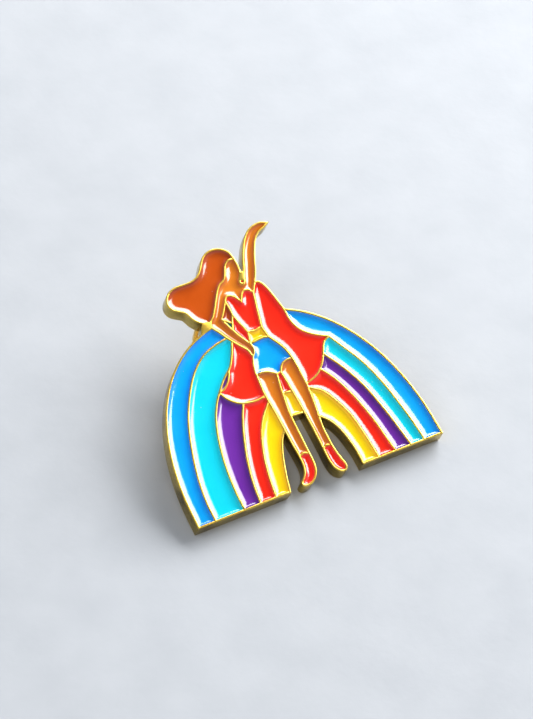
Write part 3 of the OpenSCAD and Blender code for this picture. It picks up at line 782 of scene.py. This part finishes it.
def stamped_base():
    """The clutch's disc: pierced, stepped, dimpled to grip cloth, and curled over at its rim."""
    low, high = flat_box("clutch_base")
    front, curl, wide = high[2], (high[2] - low[2]) / 2, high[0]
    under = heights_of("clutch_cover")[0]
    hole = radii_at("clutch_base", front)[0]
    corners = [(hole, under, HOLE_FOOT), (hole, front, HOLE_LIP)]
    for step in STAMPED_STEPS:
        corners += [(step + out, front + up, STEP_ROUNDING) for out, up in STEP_SHAPE]
    last = math.pi + math.asin((under - front + curl) / curl)
    for k in range(CURL_STEPS + 1):
        turn = math.pi / 2 - (math.pi / 2 + last) * k / CURL_STEPS
        corners.append((wide - curl + curl * math.cos(turn),
                        front - curl + curl * math.sin(turn), 0))
    piece = turned("stamped_base", eased(corners))
    worked(piece, ring_of_dimples(front), "UNION")
    smooth(leant(piece), 40)
    stands_for(piece, "clutch", "clutch_brass", brass, "clutch_base")


def ring_of_dimples(front):
    """Small domes, as one shape, to be pressed up from the disc."""
    dome = turned("dimple", [(radius, front + up) for radius, up in DIMPLE_SHAPE], DIMPLE_SIDES)
    domes = []
    for k in range(DIMPLES):
        turn = 2 * math.pi * (k + 0.5) / DIMPLES
        place = Vector((math.cos(turn), math.sin(turn), 0)) * DIMPLE_RING * MM
        one = dome.copy()
        one.data = dome.data.copy()
        one.data.transform(Matrix.Translation(place))
        scene.collection.objects.link(one)
        domes.append(one)
    bpy.data.objects.remove(dome)
    alone(domes[0])
    for one in domes:
        one.select_set(True)
    bpy.ops.object.join()
    return domes[0]


def stamped_cover():
    """The clutch's cap, with its flange, shoulder, nose and the slots that the jaws slide in."""
    piece = stamped_copy("clutch_cover", "stamped_cover", SHEET_ROUNDING)
    smooth(piece, 40)
    stands_for(piece, "clutch", "clutch_brass", brass, "clutch_cover")


def extruded_on(step):
    """In edit mode: draws the selected edges out by a step in millimetres."""
    bpy.ops.mesh.extrude_edges_move(TRANSFORM_OT_translate={"value": Vector(step) * MM})


def bent_sheet(name, half_width, level, heel, path, down_leaf):
    """A strip drawn out from its heel along a path, with a round end that points down the leaf."""
    piece = begun(bpy.ops.mesh.primitive_circle_add, name,
                  vertices=2 * WING_ARC, radius=half_width * MM)
    bpy.ops.object.mode_set(mode="EDIT")
    bpy.ops.mesh.select_all(action="DESELECT")
    bpy.ops.object.mode_set(mode="OBJECT")
    for vertex in piece.data.vertices:
        vertex.select = vertex.co.x < -POLE * MM
    bpy.ops.object.mode_set(mode="EDIT")
    bpy.ops.mesh.delete(type="VERT")
    bpy.ops.mesh.select_all(action="SELECT")
    bpy.ops.transform.resize(value=(0, 1, 1), center_override=(0, 0, 0))
    here = Vector((heel, 0, level))
    bpy.ops.transform.translate(value=here * MM)
    for place in path:
        extruded_on(place - here)
        here = place
    extruded_on((0, 0, 0))
    bpy.ops.object.mode_set(mode="OBJECT")
    for vertex in piece.data.vertices:
        if vertex.select:
            vertex.co += down_leaf * math.sqrt(max((half_width * MM) ** 2 - vertex.co.y ** 2, 0))
    bpy.ops.object.mode_set(mode="EDIT")
    closed()
    bpy.ops.object.mode_set(mode="OBJECT")
    modified(piece, "SOLIDIFY", thickness=SHEET * MM, offset=0)
    softened(piece, SHEET_ROUNDING, sharp=50)
    return piece


def grip_wing(cad_node, name, body, side):
    """A sliding jaw bent into its flared leaf, with ribs pressed up where a finger grips."""
    low, high = flat_box(cad_node)
    half_width, level = high[1], high[2] - SHEET / 2
    heel, out = (low[0], high[0]) if side > 0 else (-high[0], -low[0])
    down_leaf = Vector((math.sin(FLARE), 0, -math.cos(FLARE)))
    outward = Vector((math.cos(FLARE), 0, math.sin(FLARE)))
    end = Vector((out, 0, low[2] + SHEET * math.sin(FLARE))) - outward * SHEET / 2
    leaf = (level - end.z) / math.cos(FLARE)
    turn = math.pi / 2 - FLARE
    bend = end - down_leaf * leaf - Vector((WING_BEND * math.tan(turn / 2), 0, WING_BEND))
    angles = [turn * k / BEND_STEPS for k in range(BEND_STEPS + 1)]
    path = [bend + WING_BEND * Vector((math.sin(angle), 0, math.cos(angle))) for angle in angles]
    path.append(end - down_leaf * half_width)
    piece = bent_sheet(name, half_width, level, heel, path, down_leaf)

    for away in RIBS:
        place = end - down_leaf * away + outward * SHEET / 2
        rib = begun(bpy.ops.mesh.primitive_cylinder_add, "rib", place * MM, (math.pi / 2, 0, 0),
                    vertices=RIB_SIDES, radius=RIB_RADIUS * MM, depth=RIB_LENGTH * MM)
        softened(rib, RIB_ROUNDING, sharp=60)
        worked(piece, rib, "UNION")
    worked(piece, guide_slot(cad_node, side, level), "DIFFERENCE")
    if side < 0:
        bpy.ops.object.mode_set(mode="EDIT")
        bpy.ops.mesh.select_all(action="SELECT")
        bpy.ops.transform.mirror(constraint_axis=(True, False, False), center_override=(0, 0, 0))
        closed()
        bpy.ops.object.mode_set(mode="OBJECT")
    smooth(leant(piece), 40)
    stands_for(piece, body, "clutch_brass", brass, cad_node)


def guide_slot(cad_node, side, level):
    """A cutter for the slot that lets a jaw slide about the post."""
    points = flat_triangles(cad_node).reshape(-1, 3)
    plate = points[abs(points[:, 2] - level) < SHEET]
    inner = plate[np.hypot(plate[:, 0], plate[:, 1]) < SLOT_REACH] * (side, 1, 1)
    low, high = inner.min(axis=0), inner.max(axis=0)
    half = (high[1] - low[1]) / 2
    cutter = begun(bpy.ops.mesh.primitive_cylinder_add, "slot_cutter",
                   Vector((low[0] + half, 0, level)) * MM,
                   vertices=SLOT_SIDES, radius=half * MM, depth=4 * SHEET * MM)
    for vertex in cutter.data.vertices:
        if vertex.co.x > (low[0] + half + POLE) * MM:
            vertex.co.x += (high[0] - low[0] - 2 * half) * MM
    return cutter


def clutch_pieces():
    """The disc, the cap and the two wings, and the wire of the spring."""
    stamped_base()
    stamped_cover()
    grip_wing("jaw_wing_left", "left_wing", "left_jaw", -1)
    grip_wing("jaw_wing_right", "right_wing", "right_jaw", 1)
    for slot in frame["nodes"]["clutch_spring"].material_slots:
        slot.material = spring_wire


turned_post()
solder_collar()
clutch_pieces()

# ---- Table, lights and camera ----
LOWEST = min(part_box(name)[0].z for name in frame["nodes"])
TABLE_SIZE = 2.4          # metres
FIBRE_SCALE, CLOUD_SCALE = 900.0, 160.0
FIBRE_RELIEF, FIBRE_BUMP = 0.08, 0.3
CARD, PALE_CARD = (0.41, 0.43, 0.46, 1), (0.44, 0.46, 0.49, 1)
WALLS, CEILING = (0.50, 0.52, 0.54, 1), (0.10, 0.11, 0.12, 1)
AIM = Vector((0.534, -4.193, 0.988))   # the point that the camera looks at, in millimetres
CAMERA_AWAY = 454.3       # how far from it the camera stands, in millimetres
CAMERA_TURN, CAMERA_RISE, CAMERA_ROLL = map(math.radians, (35.37, 46.99, 6.8))
LENS, SENSOR = 200.0, 36.0


def studio_table():
    """A pale card under the pin's lowest point, with a faint fibre and soft clouds of tone."""
    table = begun(bpy.ops.mesh.primitive_grid_add, "studio_table", (0, 0, LOWEST),
                  x_subdivisions=8, y_subdivisions=8, size=TABLE_SIZE)
    material, tree, shader = new_material("pale_card", Metallic=0.0)
    place = add(tree, "TexCoord").outputs["Object"]
    fibre = add(tree, "TexNoise", Vector=place, Scale=FIBRE_SCALE, Detail=4.0).outputs[0]
    clouds = add(tree, "TexNoise", Vector=place, Scale=CLOUD_SCALE, Detail=3.0).outputs[0]
    colour = blended(tree, ramp(tree, clouds, 0.3, 0.7), CARD, PALE_CARD)
    roughness = ramp(tree, fibre, 0.0, 1.0, 0.75, 0.95)
    surfaced(tree, shader, colour, roughness, fibre, FIBRE_BUMP, FIBRE_RELIEF)
    table.data.materials.append(material)


def softbox(name, azimuth, elevation, distance, width, height, power, mirrored=True):
    """A soft light that faces the pin. Azimuth is counted from +X towards +Y."""
    data = bpy.data.lights.new(name, "AREA")
    data.shape = "RECTANGLE"
    data.size, data.size_y = width, height
    data.energy = power
    lamp = bpy.data.objects.new(name, data)
    scene.collection.objects.link(lamp)
    a, e = math.radians(azimuth), math.radians(elevation)
    place = Vector((math.cos(a) * math.cos(e), math.sin(a) * math.cos(e), math.sin(e))) * distance
    lamp.location = place
    lamp.rotation_euler = place.to_track_quat("Z", "Y").to_euler()
    lamp.visible_glossy = mirrored


def studio_camera():
    """A long lens that looks down on the pin, a little rolled."""
    back = Vector((-math.sin(CAMERA_TURN) * math.cos(CAMERA_RISE),
                   -math.cos(CAMERA_TURN) * math.cos(CAMERA_RISE), math.sin(CAMERA_RISE)))
    right = Vector((math.cos(CAMERA_TURN), -math.sin(CAMERA_TURN), 0))
    up = back.cross(right)
    right, up = (right * math.cos(CAMERA_ROLL) + up * math.sin(CAMERA_ROLL),
                 up * math.cos(CAMERA_ROLL) - right * math.sin(CAMERA_ROLL))
    data = bpy.data.cameras.new("camera")
    data.sensor_fit = "VERTICAL"
    data.sensor_height = SENSOR
    data.lens = LENS
    data.clip_start, data.clip_end = 0.01, 20.0
    camera = bpy.data.objects.new("camera", data)
    scene.collection.objects.link(camera)
    turned_to = Matrix((right, up, back)).transposed().to_4x4()
    camera.matrix_world = Matrix.Translation(AIM * MM + back * CAMERA_AWAY * MM) @ turned_to
    scene.camera = camera


def studio_room():
    """Pale walls for the gold to mirror, and a darker ceiling that keeps the enamel deep."""
    world = bpy.data.worlds.new("studio")
    scene.world = world
    world.use_nodes = True
    tree = world.node_tree
    up = add(tree, "SeparateXYZ", Vector=add(tree, "TexCoord").outputs["Generated"]).outputs["Z"]
    light = blended(tree, ramp(tree, up, 0.45, 0.85), WALLS, CEILING)
    tree.links.new(light, tree.nodes["Background"].inputs["Color"])


studio_table()
softbox("window", azimuth=24, elevation=31, distance=0.5, width=0.56, height=0.40, power=6.8)
softbox("fill", azimuth=215, elevation=50, distance=0.5, width=0.5, height=0.5, power=1.4,
        mirrored=False)
studio_camera()
studio_room()
scene.view_settings.view_transform = "Standard"
